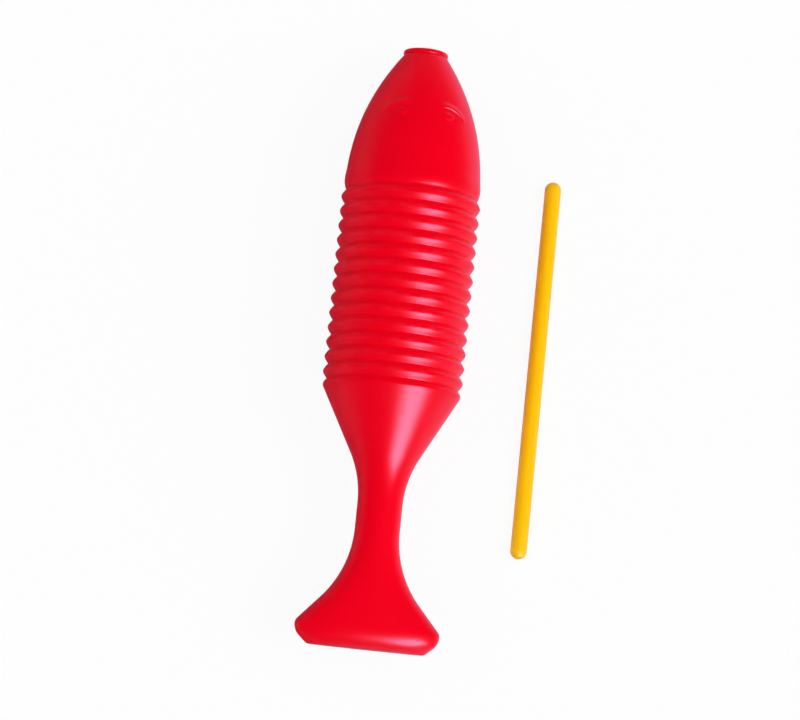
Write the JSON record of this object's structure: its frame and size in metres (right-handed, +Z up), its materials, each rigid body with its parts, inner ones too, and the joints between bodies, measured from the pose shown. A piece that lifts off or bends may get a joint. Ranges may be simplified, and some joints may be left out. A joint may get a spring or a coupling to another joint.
{
  "type": "fish guiro with scraper",
  "caption": "Hollow moulded plastic guiro shaped like a fish, with rasp ribs, an open mouth and a flared tail fin, and a loose round-ended scraper stick.",
  "frame": {"origin": "centre of the box round both pieces, at the level of the table they lie on", "axes": "+Y runs along the guiro towards its mouth, +Z is up through the eyes side, +X points from the guiro to the stick"},
  "size_m": [0.1186, 0.3092, 0.0716],
  "materials": {
    "red_plastic": "blow-moulded polyethylene, satin gloss",
    "yellow_plastic": "moulded plastic rod, satin"
  },
  "bodies": {
    "guiro": {"guiro_body": "red_plastic"},
    "stick": {"scraper_stick": "yellow_plastic"}
  },
  "joints": [
    {"name": "stick_lift", "type": "slide", "parent": "guiro", "child": "stick", "axis": [0, 0, 1], "range_m": [0, 0.1]}
  ]
}
